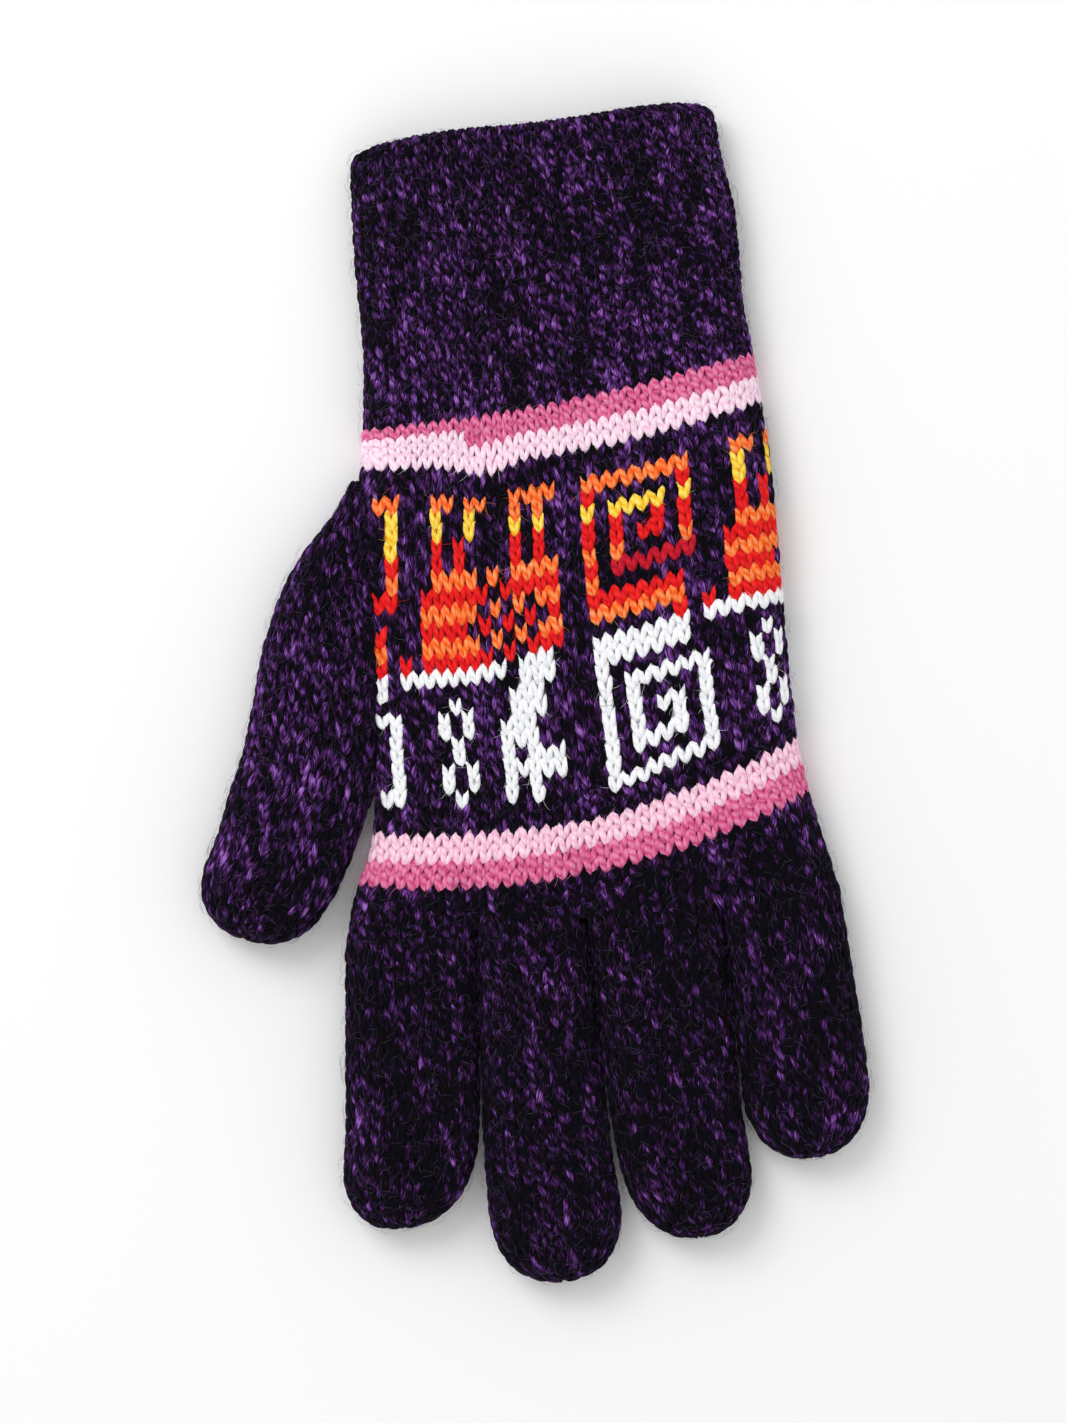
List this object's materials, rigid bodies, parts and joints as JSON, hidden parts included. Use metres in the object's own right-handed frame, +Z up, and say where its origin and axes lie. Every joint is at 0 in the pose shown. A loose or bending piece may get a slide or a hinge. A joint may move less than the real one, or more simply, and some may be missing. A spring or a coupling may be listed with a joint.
{
  "type": "hand-knitted alpaca glove",
  "caption": "Hand-knitted alpaca glove lying flat with its back up: plain cuff, hand with a patterned band, side thumb and rounded fingers, all hollow.",
  "frame": {"origin": "on the surface that the glove lies on, under the middle of the palm", "axes": "+Z up out of the back of the hand, +Y towards the cuff, thumb on the -X side"},
  "size_m": [0.1348, 0.2428, 0.015],
  "materials": {
    "marl_knit": "fuzzy marled wool knit"
  },
  "bodies": {
    "root": {"cuff": "marl_knit", "hand": "marl_knit", "thumb": "marl_knit", "index_finger": "marl_knit", "middle_finger": "marl_knit", "ring_finger": "marl_knit", "little_finger": "marl_knit"}
  },
  "joints": []
}
